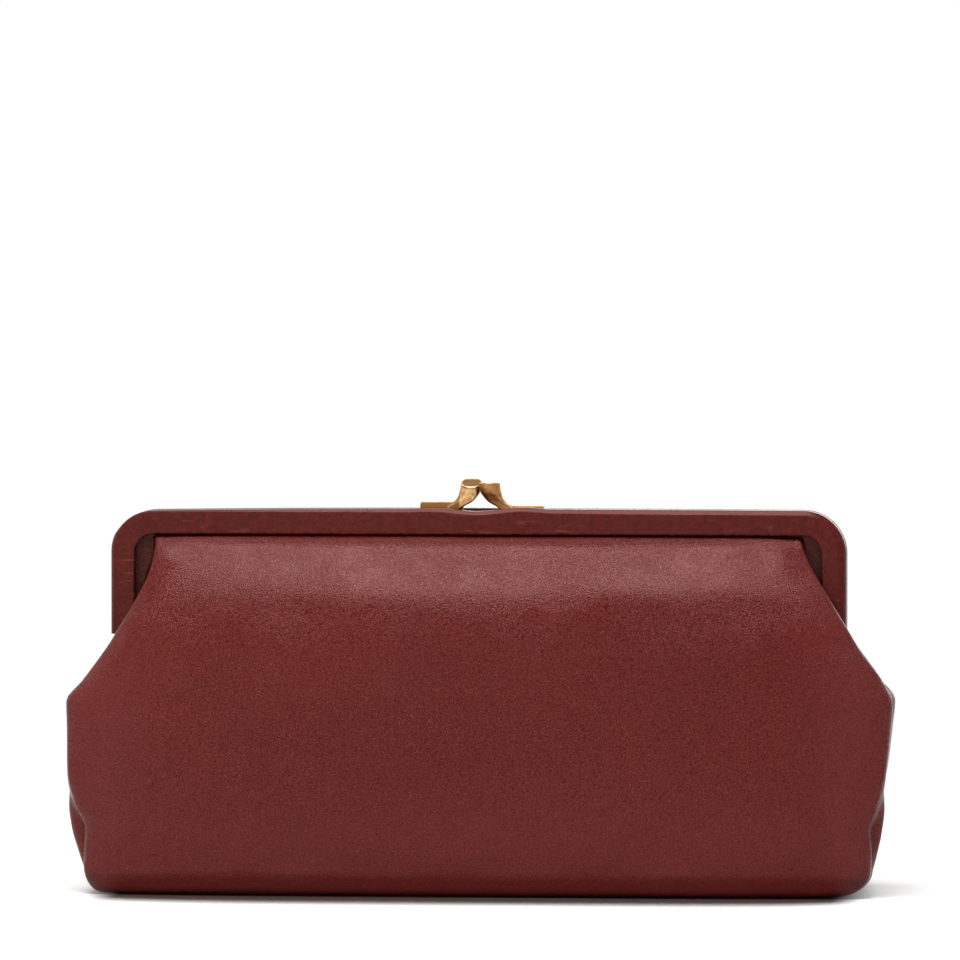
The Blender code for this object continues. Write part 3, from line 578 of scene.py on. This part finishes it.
def horn(half, side, look):
    """A brass horn: a flat foot strip that turns up and widens into a tilted, dished disc."""
    marks = [row[0] for row in HORN_ROWS]
    curves = [smooth_curve(marks, [row[i] for row in HORN_ROWS]) for i in range(7)]
    rings = []
    for mark in np.linspace(marks[0], marks[-1], horn_rows_fine):
        rings.append(horn_ring([curve(np.array(mark)) for curve in curves], side))
    edge = [(inward * horn_rim, upward * horn_rim) for inward, upward in HORN_EDGE]
    edge[-1] = (edge[-1][0], edge[-1][1] - horn_dish)
    rings += [horn_ring(HORN_ROWS[-1], side, shrink, lift) for shrink, lift in edge]
    mesh = bpy.data.meshes.new(f"{half}_horn")
    bm = bmesh.new()
    loops = [[bm.verts.new(point) for point in ring] for ring in rings]
    for low, high in zip(loops, loops[1:]):
        for i in range(horn_sides):
            j = (i + 1) % horn_sides
            bm.faces.new((low[i], low[j], high[j], high[i]))
    bm.faces.new(loops[0][::-1])
    bm.faces.new(loops[-1])
    if side < 0:
        for vertex in bm.verts:
            vertex.co.x += crossing
    foot_end = clasp_middle - foot_start
    strip = bmesh.ops.create_cube(bm, size=1.0)["verts"]
    low = np.array((foot_end - foot_length, foot_front, frame_top - foot_depth))
    high = np.array((foot_end, foot_front + foot_thickness, frame_top + foot_rise[side]))
    for vertex in strip:
        vertex.co = (low + high) / 2 + np.array(vertex.co) * (high - low)
    ends = [e for e in bm.edges if e.verts[0] in strip and e.verts[1] in strip]
    upright = [e for e in ends if abs(e.verts[0].co.y - e.verts[1].co.y) > foot_thickness / 2]
    outer = [e for e in upright if e.verts[0].co.x < foot_end - foot_length / 2]
    bmesh.ops.bevel(
        bm, geom=outer, offset=strip_round, offset_type="OFFSET", segments=strip_round_steps, profile=0.5,
        affect="EDGES",
    )
    if side < 0:
        for vertex in bm.verts:
            vertex.co.x = 2 * clasp_middle - vertex.co.x
            vertex.co.y = -vertex.co.y
    bm.to_mesh(mesh)
    bm.free()
    obj = piece(f"{half}_horn", mesh, look)
    fuse = obj.modifiers.new("fuse", "REMESH")
    fuse.mode = "VOXEL"
    fuse.voxel_size = horn_voxel
    soften = obj.modifiers.new("soften", "SMOOTH")
    soften.factor = horn_smoothing
    soften.iterations = horn_smoothing_rounds
    bpy.context.view_layer.update()
    fused = bpy.data.meshes.new_from_object(obj.evaluated_get(bpy.context.evaluated_depsgraph_get()))
    obj.modifiers.clear()
    obj.data = fused
    fused.materials.clear()
    fused.materials.append(look)
    fused.shade_smooth()
    store_wear_and_light(fused, side)
    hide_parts(f"{half}_clasp_horn")
    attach(obj, f"{half}_half")


def store_wear_and_light(mesh, side):
    """Stores where hands have rubbed the brass, with painted light and shade by side: high on edges, low in
    hollows, 0 on the disc's face.
    """
    count = len(mesh.vertices)
    places = np.empty(count * 3, np.float32)
    mesh.vertices.foreach_get("co", places)
    places = places.reshape(-1, 3)
    facing = np.empty(count * 3, np.float32)
    mesh.vertex_normals.foreach_get("vector", facing)
    facing = facing.reshape(-1, 3)
    edges = np.empty(len(mesh.edges) * 2, np.int32)
    mesh.edges.foreach_get("vertices", edges)
    a, b = edges.reshape(-1, 2).T
    step = places[b] - places[a]
    length = np.linalg.norm(step, axis=1) + 1e-9
    bend = np.einsum("ij,ij->i", facing[b] - facing[a], step) / length
    total = np.zeros(count)
    shares = np.zeros(count)
    for ends in (a, b):
        np.add.at(total, ends, bend)
        np.add.at(shares, ends, 1)
    curved = total / np.maximum(shares, 1)
    for _ in range(wear_rounds):
        spread = np.zeros(count)
        np.add.at(spread, a, curved[b])
        np.add.at(spread, b, curved[a])
        curved = 0.5 * curved + 0.5 * spread / np.maximum(shares, 1)
    wear_and_light = np.clip(0.5 + curved * wear_gain, 0, 1)
    tilt = math.radians(disc_tilt) * tilt_share[side]
    up = np.array((0, side * -math.sin(tilt), math.cos(tilt)))
    disc_x = clasp_middle - side * (horn_split + disc_radius)
    if side < 0:
        disc_x -= crossing
    disc_depth = foot_front + foot_thickness / 2 - disc_lean * lean_share[side] * disc_radius
    disc = np.array((disc_x, side * disc_depth, frame_top + disc_share * horn_height))
    away = places - disc
    height = away @ up
    radial = np.linalg.norm(away - height[:, None] * up, axis=1)
    on_face = (height > 0) & (radial < disc_radius - face_inset)
    on_foot = side * (clasp_middle - places[:, 0]) > foot_start + foot_wear_and_light_margin
    # Painted light and shade: each side's foot and horn are made brighter or darker on top of their wear.
    wear_and_light += np.where(on_foot, *foot_and_horn_wear_and_light[side])
    wear_and_light[on_face] = 0.0
    layer = mesh.attributes.new("wear_and_light", "FLOAT", "POINT")
    layer.data.foreach_set("value", wear_and_light.astype(np.float32))


# Materials

# The dyed finish tints the leather's shine
leather_shine = (1.0, 0.57, 0.52)


class Nodes:
    """Short calls for building a material's nodes."""

    def __init__(self, name):
        self.material = bpy.data.materials.new(name)
        self.material.use_nodes = True
        self.tree = self.material.node_tree
        self.shader = self.tree.nodes["Principled BSDF"]
        self.place = self.add("ShaderNodeTexCoord").outputs["Object"]

    def add(self, kind, **settings):
        """A new node with the given settings."""
        node = self.tree.nodes.new(kind)
        for key, value in settings.items():
            setattr(node, key, value)
        return node

    def link(self, source, target):
        self.tree.links.new(source, target)

    def stretched(self, scale):
        """The place, scaled by a factor for each axis: below 1 a pattern grows longer that way."""
        node = self.add("ShaderNodeMapping")
        node.inputs["Scale"].default_value = scale
        self.link(self.place, node.inputs["Vector"])
        return node.outputs["Vector"]

    def noise(self, size, detail=3.0, rough=0.5, vector=None):
        """Noise from 0 to 1 with features of about the given size in metres."""
        node = self.add("ShaderNodeTexNoise")
        node.inputs["Scale"].default_value = 1 / size
        node.inputs["Detail"].default_value = detail
        node.inputs["Roughness"].default_value = rough
        self.link(vector or self.place, node.inputs["Vector"])
        return node.outputs["Fac"]

    def cells(self, size, vector=None, feature="F1"):
        """Distance to the middle or the edge of cells of about the given size in metres."""
        node = self.add("ShaderNodeTexVoronoi", feature=feature)
        node.inputs["Scale"].default_value = 1 / size
        self.link(vector or self.place, node.inputs["Vector"])
        return node.outputs["Distance"]

    def wobbled(self, size, amount):
        """The place, shifted here and there by noise, so that a pattern isn't regular."""
        node = self.add("ShaderNodeTexNoise")
        node.inputs["Scale"].default_value = 1 / size
        self.link(self.place, node.inputs["Vector"])
        centred = self.add("ShaderNodeVectorMath", operation="SUBTRACT")
        self.link(node.outputs["Color"], centred.inputs[0])
        centred.inputs[1].default_value = (0.5, 0.5, 0.5)
        scaled = self.add("ShaderNodeVectorMath", operation="SCALE")
        self.link(centred.outputs[0], scaled.inputs[0])
        scaled.inputs["Scale"].default_value = amount
        moved = self.add("ShaderNodeVectorMath", operation="ADD")
        self.link(self.place, moved.inputs[0])
        self.link(scaled.outputs[0], moved.inputs[1])
        return moved.outputs[0]

    def range(self, value, low, high, to_low=0.0, to_high=1.0):
        """A smooth step from one value to another as the given value goes from low to high."""
        node = self.add("ShaderNodeMapRange", interpolation_type="SMOOTHSTEP")
        self.link(value, node.inputs["Value"])
        node.inputs["From Min"].default_value = low
        node.inputs["From Max"].default_value = high
        node.inputs["To Min"].default_value = to_low
        node.inputs["To Max"].default_value = to_high
        return node.outputs["Result"]

    def maths(self, operation, *values):
        """An operation on sockets or numbers."""
        node = self.add("ShaderNodeMath", operation=operation)
        for socket, value in zip(node.inputs, values):
            if isinstance(value, (int, float)):
                socket.default_value = value
            else:
                self.link(value, socket)
        return node.outputs[0]

    def mix(self, share, first, second):
        """Mixes two colours, each a socket or linear red, green and blue, by a socket's share."""
        node = self.add("ShaderNodeMix", data_type="RGBA")
        for socket, value in ((node.inputs[0], share), (node.inputs[6], first), (node.inputs[7], second)):
            if isinstance(value, tuple):
                socket.default_value = (*value, 1.0)
            else:
                self.link(value, socket)
        return node.outputs[2]

    def coordinate(self, axis):
        """X from the bag's middle to its right end, Y to its back or Z above the floor, in metres."""
        parts = self.add("ShaderNodeSeparateXYZ")
        self.link(self.place, parts.inputs[0])
        return parts.outputs[axis]

    def painted_shade(self, reach, closed, open_to, most):
        """Painted shade: up to the given share where other surfaces are near, within the given reach in
        metres.
        """
        node = self.add("ShaderNodeAmbientOcclusion", samples=16)
        node.inputs["Distance"].default_value = reach
        return self.range(node.outputs["AO"], closed, open_to, most, 0.0)

    def bumps(self, height, depth):
        """Relief whose full height is the given depth in metres."""
        node = self.add("ShaderNodeBump")
        node.inputs["Strength"].default_value = 1.0
        node.inputs["Distance"].default_value = depth
        self.link(height, node.inputs["Height"])
        return node.outputs["Normal"]

    def feed(self, name, value):
        """Sets an input of the shader to a number or links a socket to it."""
        socket = self.shader.inputs[name]
        if isinstance(value, float):
            socket.default_value = value
        else:
            self.link(value, socket)

    def finish(self, colour, roughness, normal=None, metallic=0.0, specular=0.5, tint=(1.0, 1.0, 1.0)):
        """Sets the shader's colour, shine and relief, and returns the material."""
        self.feed("Base Color", colour)
        self.feed("Roughness", roughness)
        self.feed("Metallic", metallic)
        self.feed("Specular IOR Level", specular)
        self.shader.inputs["Specular Tint"].default_value = (*tint, 1.0)
        if normal:
            self.feed("Normal", normal)
        return self.material


def pebbled_leather():
    """Supple calf leather with a fine pebble grain, slightly uneven in colour and shine, with painted shade
    and painted light.
    """
    deep_dye = (0.108, 0.0088, 0.0074)
    bright_dye = (0.127, 0.0112, 0.0093)
    cloudy = (0.118, 0.0140, 0.0120)
    pit_tone_and_shade = (0.044, 0.0042, 0.0038)
    on_pebbles = (0.210, 0.036, 0.031)
    painted_light_pale = (0.165, 0.0320, 0.0290)
    painted_crevice_shade = (0.016, 0.0030, 0.0025)
    n = Nodes("pebbled_leather")
    wobbled = n.wobbled(0.0030, 0.0009)
    pebbles = n.cells(0.00052, wobbled)
    small_pebbles = n.cells(0.00036, wobbled)
    grain = n.maths("ADD", n.maths("MULTIPLY", pebbles, 0.7), n.maths("MULTIPLY", small_pebbles, 0.4))
    domes = n.range(grain, 0.0, 0.95, 1.0, 0.0)
    pores = n.noise(0.00028, 2.0)
    height_above_floor = n.coordinate("Z")
    patches = n.noise(0.016, 3.0, 0.6)
    clouds = n.noise(0.060, 3.0, 0.55)
    relief_height = n.maths("ADD", domes, n.maths("MULTIPLY", pores, 0.22))
    strength = n.range(patches, 0.30, 0.70, 0.55, 1.0)
    height = n.maths("MULTIPLY", relief_height, strength)
    colour = n.mix(n.range(clouds, 0.30, 0.70), deep_dye, bright_dye)
    colour = n.mix(n.range(patches, 0.35, 0.75, 0.0, 0.35), colour, cloudy)
    # Darker in the grain's pits: partly the leather's own tone, partly painted shade.
    colour = n.mix(n.range(grain, 0.42, 0.78, 0.0, 0.70), colour, pit_tone_and_shade)
    specks = n.range(n.noise(0.00048, 1.0), 0.57, 0.70, 0.0, 0.48)
    colour = n.mix(specks, colour, on_pebbles)
    # Painted light: paler towards the bottom and towards the ends.
    low = n.range(height_above_floor, 0.006, 0.050, 0.30, 0.0)
    from_middle = n.maths("ABSOLUTE", n.coordinate("X"))
    paler = n.maths("MAXIMUM", low, n.range(from_middle, 0.096, 0.130, 0.0, 0.38))
    colour = n.mix(paler, colour, painted_light_pale)
    # Painted shade: darker where other surfaces are near, on the upper body and at the tucks near its ends.
    upper = n.range(height_above_floor, 0.020, 0.060)
    above_base = n.range(height_above_floor, 0.002, 0.006)
    at_tucks = n.maths("MULTIPLY", n.range(from_middle, 0.122, 0.127), above_base)
    folded = n.maths("MAXIMUM", upper, at_tucks)
    shaded = n.maths("MULTIPLY", n.painted_shade(0.014, 0.35, 0.90, 0.88), folded)
    colour = n.mix(shaded, colour, painted_crevice_shade)
    roughness = n.range(patches, 0.2, 0.8, 0.18, 0.23)
    shine = n.range(grain, 0.40, 0.74, 0.34, 0.15)
    return n.finish(colour, roughness, n.bumps(height, 0.00011), specular=shine, tint=leather_shine)


def frame_leather():
    """Skived leather pulled tight over the frame: nearly smooth, with mottles, creases and fine scratches."""
    deep_dye = (0.060, 0.0042, 0.0026)
    bright_dye = (0.074, 0.0058, 0.0038)
    mottled = (0.108, 0.0110, 0.0085)
    scratched = (0.190, 0.0500, 0.0400)
    specked = (0.150, 0.0260, 0.0200)
    creased = (0.055, 0.0090, 0.0075)
    n = Nodes("frame_leather")
    wobbled = n.wobbled(0.004, 0.0016)
    mottles = n.noise(0.0024, 4.0, 0.62)
    clouds = n.noise(0.030, 3.0, 0.5)
    creases = n.cells(0.0042, wobbled, feature="DISTANCE_TO_EDGE")
    crease_lines = n.range(creases, 0.0, 0.10, 1.0, 0.0)
    scratches = n.noise(0.0012, 2.0, 0.5, n.stretched((0.12, 1.0, 1.0)))
    scratch_lines = n.range(scratches, 0.66, 0.72)
    colour = n.mix(n.range(clouds, 0.35, 0.65), deep_dye, bright_dye)
    colour = n.mix(n.range(mottles, 0.40, 0.66, 0.0, 0.65), colour, mottled)
    colour = n.mix(n.maths("MULTIPLY", scratch_lines, 0.45), colour, scratched)
    specks = n.range(n.noise(0.0009, 2.0), 0.58, 0.70, 0.0, 0.35)
    colour = n.mix(specks, colour, specked)
    faint_creases = n.maths("MULTIPLY", crease_lines, n.range(clouds, 0.45, 0.65))
    colour = n.mix(n.maths("MULTIPLY", faint_creases, 0.35), colour, creased)
    fine = n.noise(0.0006, 2.0)
    height = n.maths("ADD", n.maths("MULTIPLY", fine, 0.35), n.maths("MULTIPLY", mottles, 0.8))
    height = n.maths("SUBTRACT", height, n.maths("MULTIPLY", faint_creases, 0.5))
    roughness = n.range(mottles, 0.3, 0.7, 0.24, 0.32)
    return n.finish(colour, roughness, n.bumps(height, 0.00010), specular=0.22, tint=leather_shine)


def antique_brass():
    """Brass with a brown patina in its hollows, rubbed to pale gold on its edges."""
    patina = (0.235, 0.108, 0.035)
    handled = (0.430, 0.225, 0.085)
    polished = (0.780, 0.560, 0.300)
    stained = (0.150, 0.068, 0.028)
    n = Nodes("antique_brass")
    # The stored wear also carries painted light and shade, set for each side's foot and horn.
    wear_and_light = n.add("ShaderNodeAttribute", attribute_name="wear_and_light").outputs["Fac"]
    patches = n.noise(0.0016, 4.0, 0.6)
    stains = n.noise(0.0006, 3.0, 0.6)
    brushed = n.noise(0.0005, 2.0, 0.5, n.stretched((0.15, 1.0, 1.0)))
    rubbed = n.maths("ADD", wear_and_light, n.maths("MULTIPLY", n.maths("SUBTRACT", patches, 0.5), 0.9))
    colour = n.mix(n.range(rubbed, 0.05, 0.55), patina, handled)
    colour = n.mix(n.range(rubbed, 0.55, 0.95), colour, polished)
    colour = n.mix(n.range(stains, 0.56, 0.74, 0.0, 0.5), colour, stained)
    roughness = n.range(rubbed, 0.1, 0.9, 0.42, 0.26)
    height = n.maths("ADD", n.maths("MULTIPLY", brushed, 0.6), n.maths("MULTIPLY", stains, 0.4))
    return n.finish(colour, roughness, n.bumps(height, 0.00002), metallic=1.0)


def plain_brass():
    """The same brass on the small rivets, where no rubbed edges are stored."""
    n = Nodes("plain_brass")
    patches = n.noise(0.0012, 4.0, 0.6)
    colour = n.mix(n.range(patches, 0.30, 0.60), (0.235, 0.112, 0.044), (0.480, 0.270, 0.115))
    colour = n.mix(n.range(patches, 0.60, 0.75, 0.0, 0.8), colour, (0.700, 0.480, 0.240))
    return n.finish(colour, n.range(patches, 0.3, 0.7, 0.42, 0.30), n.bumps(patches, 0.00003), metallic=1.0)


def frame_steel():
    """Dark plated steel with drawn lines and a few duller spots."""
    n = Nodes("frame_steel_finish")
    lines = n.noise(0.0004, 2.0, 0.5, n.stretched((0.08, 1.0, 1.0)))
    spots = n.noise(0.003, 4.0, 0.65)
    colour = n.mix(n.range(lines, 0.3, 0.7), (0.300, 0.270, 0.225), (0.420, 0.385, 0.330))
    colour = n.mix(n.range(spots, 0.58, 0.75, 0.0, 0.5), colour, (0.170, 0.140, 0.105))
    return n.finish(colour, n.range(spots, 0.3, 0.7, 0.30, 0.48), n.bumps(lines, 0.00001), metallic=1.0)


def lining_twill():
    """Brown cotton twill: slanting ribs with a slub here and there."""
    n = Nodes("lining_twill")
    slanted = n.add("ShaderNodeMapping")
    slanted.inputs["Rotation"].default_value = (0, math.radians(38), 0)
    n.link(n.wobbled(0.004, 0.0003), slanted.inputs["Vector"])
    ribs = n.add("ShaderNodeTexWave", wave_type="BANDS", bands_direction="X", wave_profile="SIN")
    ribs.inputs["Scale"].default_value = 1 / 0.0026
    ribs.inputs["Distortion"].default_value = 0.4
    n.link(slanted.outputs["Vector"], ribs.inputs["Vector"])
    threads = n.noise(0.00035, 2.0, 0.5, n.stretched((1.0, 1.0, 0.3)))
    slubs = n.noise(0.006, 3.0)
    height = n.maths("ADD", ribs.outputs["Fac"], n.maths("MULTIPLY", threads, 0.6))
    colour = n.mix(ribs.outputs["Fac"], (0.060, 0.033, 0.024), (0.120, 0.068, 0.049))
    colour = n.mix(n.range(slubs, 0.5, 0.8, 0.0, 0.4), colour, (0.150, 0.092, 0.066))
    n.shader.inputs["Sheen Weight"].default_value = 0.2
    return n.finish(colour, 0.88, n.bumps(height, 0.00012), specular=0.2)


def board_fibre():
    """Grey-brown bag board with fibres and flecks."""
    n = Nodes("board_fibre")
    fibres = n.noise(0.0012, 5.0, 0.7, n.stretched((0.3, 1.0, 1.0)))
    flecks = n.noise(0.0025, 2.0)
    colour = n.mix(fibres, (0.200, 0.150, 0.100), (0.290, 0.225, 0.155))
    colour = n.mix(n.range(flecks, 0.66, 0.74, 0.0, 0.6), colour, (0.110, 0.080, 0.055))
    return n.finish(colour, 0.92, n.bumps(fibres, 0.00006), specular=0.2)


def paper_cord():
    """Twisted kraft paper: slanting ridges round the cord."""
    n = Nodes("paper_cord_twist")
    twist = n.add("ShaderNodeTexWave", wave_type="BANDS", bands_direction="DIAGONAL")
    twist.inputs["Scale"].default_value = 1 / 0.004
    twist.inputs["Distortion"].default_value = 1.5
    n.link(n.place, twist.inputs["Vector"])
    fibres = n.noise(0.0006, 3.0)
    height = n.maths("ADD", twist.outputs["Fac"], n.maths("MULTIPLY", fibres, 0.4))
    colour = n.mix(twist.outputs["Fac"], (0.300, 0.220, 0.140), (0.440, 0.350, 0.240))
    return n.finish(colour, 0.90, n.bumps(height, 0.00010), specular=0.2)


def dress(node, look):
    """Gives a carried-over CAD node a better material through its object's slots."""
    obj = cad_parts[node]
    for slot in obj.material_slots:
        slot.link = "OBJECT"
        slot.material = look


# Floor, light and camera

floor_reach = 6.0
lit_radius = 0.18
white_radius = 0.50
near_glow = 0.36
# The contact shadow along the bag is painted: the floor is darkened, and loses its glow, where the bag is
# near.
contact_reach = 0.056
contact_range = (0.62, 0.86)
contact_ends = (0.118, 0.134)
contact_bounce = 0.35
painted_contact_shadow = (0.050, 0.034, 0.028)
floor_pale = (0.86, 0.86, 0.855)
floor_paler = (0.88, 0.88, 0.875)
black = (0.0, 0.0, 0.0)
surround_light = 0.12

# Softboxes: name, place, what they are aimed at, width, depth, watts and colour
SOFTBOXES = (
    ("overhead_softbox", (-0.08, -0.40, 1.07), (-0.04, 0, 0.10), 0.8, 0.65, 14.5, (1.0, 1.0, 1.0)),
    ("front_fill", (-0.5, -1.6, 0.25), (0, 0, 0.07), 1.2, 1.0, 5.0, (1.0, 1.0, 1.0)),
    ("back_fill", (0.4, 1.5, 0.65), (0, 0, 0.07), 1.2, 1.0, 6.0, (1.0, 1.0, 1.0)),
    ("left_strip", (-1.10, -0.10, 0.42), (0, 0, 0.08), 0.35, 0.4, 0.8, (1.0, 0.80, 0.74)),
)

camera_distance = 2.667
camera_turn = 4.5
camera_lens = 300
camera_sensor = 36
camera_height = 230 * MM
camera_aim = 137.5 * MM
camera_across = 0.4 * MM
camera_sees = (0.05, 50)


def seen_directly(tree):
    """1 for camera, glossy and transmission rays, else 0."""
    path = tree.nodes.new("ShaderNodeLightPath")
    first = tree.nodes.new("ShaderNodeMath")
    first.operation = "MAXIMUM"
    tree.links.new(path.outputs["Is Camera Ray"], first.inputs[0])
    tree.links.new(path.outputs["Is Glossy Ray"], first.inputs[1])
    both = tree.nodes.new("ShaderNodeMath")
    both.operation = "MAXIMUM"
    tree.links.new(first.outputs[0], both.inputs[0])
    tree.links.new(path.outputs["Is Transmission Ray"], both.inputs[1])
    return both.outputs[0]


def floor():
    """A plain pale floor that keeps the bag's shadow from the lamps, with a painted contact shadow along the
    bag, and turns white farther out.
    """
    mesh = bpy.data.meshes.new("floor")
    r = floor_reach
    mesh.from_pydata([(-r, -r, 0), (r, -r, 0), (r, r, 0), (-r, r, 0)], [], [(0, 1, 2, 3)])
    n = Nodes("pale_floor")
    faint = n.noise(0.4, 2.0)
    colour = n.mix(faint, floor_pale, floor_paler)
    # Painted shadow: darker where the bag is near and within its length, and less so for the light the floor
    # bounces.
    under = n.range(n.maths("ABSOLUTE", n.coordinate("X")), *contact_ends, 1.0, 0.0)
    contact_shadow_share = n.maths("MULTIPLY", n.painted_shade(contact_reach, *contact_range, 1.0), under)
    direct = seen_directly(n.tree)
    darkened = n.maths("MULTIPLY", contact_shadow_share, n.range(direct, 0.0, 1.0, contact_bounce, 1.0))
    colour = n.mix(darkened, colour, painted_contact_shadow)
    n.finish(colour, 0.9, specular=0.1)
    glow = n.mix(contact_shadow_share, (near_glow, near_glow, near_glow), black)
    glow = n.mix(direct, black, glow)
    n.link(glow, n.shader.inputs["Emission Color"])
    n.shader.inputs["Emission Strength"].default_value = 1.0
    radius = n.add("ShaderNodeVectorMath", operation="LENGTH")
    n.link(n.place, radius.inputs[0])
    far = n.range(radius.outputs["Value"], lit_radius, white_radius)
    share = n.maths("MULTIPLY", far, direct)
    white = n.add("ShaderNodeEmission")
    both = n.add("ShaderNodeMixShader")
    n.link(share, both.inputs[0])
    n.link(n.shader.outputs[0], both.inputs[1])
    n.link(white.outputs[0], both.inputs[2])
    n.link(both.outputs[0], n.tree.nodes["Material Output"].inputs["Surface"])
    mesh.materials.append(n.material)
    obj = bpy.data.objects.new("floor", mesh)
    bpy.context.scene.collection.objects.link(obj)


def lamp(name, place, aim, width, depth, watts, colour):
    """A rectangular softbox at a place, aimed at another."""
    light = bpy.data.lights.new(name, "AREA")
    light.shape = "RECTANGLE"
    light.size = width
    light.size_y = depth
    light.energy = watts
    light.color = colour
    obj = bpy.data.objects.new(name, light)
    obj.location = place
    direction = np.array(aim, float) - np.array(place, float)
    obj.rotation_euler = Vector(direction).to_track_quat("-Z", "Y").to_euler()
    bpy.context.scene.collection.objects.link(obj)


def lights():
    """Soft studio light, mostly from above, and a surround that looks white but lights the bag faintly."""
    for softbox in SOFTBOXES:
        lamp(*softbox)
    world = bpy.data.worlds.new("studio")
    bpy.context.scene.world = world
    world.use_nodes = True
    tree = world.node_tree
    background = tree.nodes["Background"]
    background.inputs["Color"].default_value = (1, 1, 1, 1)
    strength = tree.nodes.new("ShaderNodeMapRange")
    tree.links.new(seen_directly(tree), strength.inputs["Value"])
    strength.inputs["To Min"].default_value = surround_light
    strength.inputs["To Max"].default_value = 1.0
    tree.links.new(strength.outputs["Result"], background.inputs["Strength"])


def camera():
    """Nearly straight on, a little from the right and from above, at the photograph's scale."""
    data = bpy.data.cameras.new("camera")
    data.lens = camera_lens
    data.sensor_width = camera_sensor
    data.clip_start, data.clip_end = camera_sees
    obj = bpy.data.objects.new("camera", data)
    turn = math.radians(camera_turn)
    obj.location = (
        camera_distance * math.sin(turn) + camera_across * math.cos(turn),
        -camera_distance * math.cos(turn) + camera_across * math.sin(turn),
        camera_height,
    )
    obj.rotation_euler = (math.pi / 2 - math.atan((camera_height - camera_aim) / camera_distance), 0, turn)
    bpy.context.scene.collection.objects.link(obj)
    bpy.context.scene.camera = obj
    bpy.context.scene.view_settings.view_transform = "Standard"


def main():
    """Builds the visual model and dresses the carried-over pieces."""
    hide = pebbled_leather()
    tight_hide = frame_leather()
    twill = lining_twill()
    brass = antique_brass()
    rivet_brass = plain_brass()
    steel = frame_steel()
    cord = paper_cord()
    for side, half in HALVES:
        soft_piece(half, side, "panel", hide)
        soft_piece(half, side, "lining", twill)
        cover(half, side, tight_hide)
        horn(half, side, brass)
        dress(f"{half}_frame", steel)
        dress(f"{half}_channel_cord", cord)
        for number in (1, 2):
            dress(f"{half}_clasp_rivet_{number}", rivet_brass)
    for name in ("left", "right"):
        dress(f"{name}_hinge_rivet", rivet_brass)
    dress("base_board", board_fibre())
    floor()
    lights()
    camera()


main()
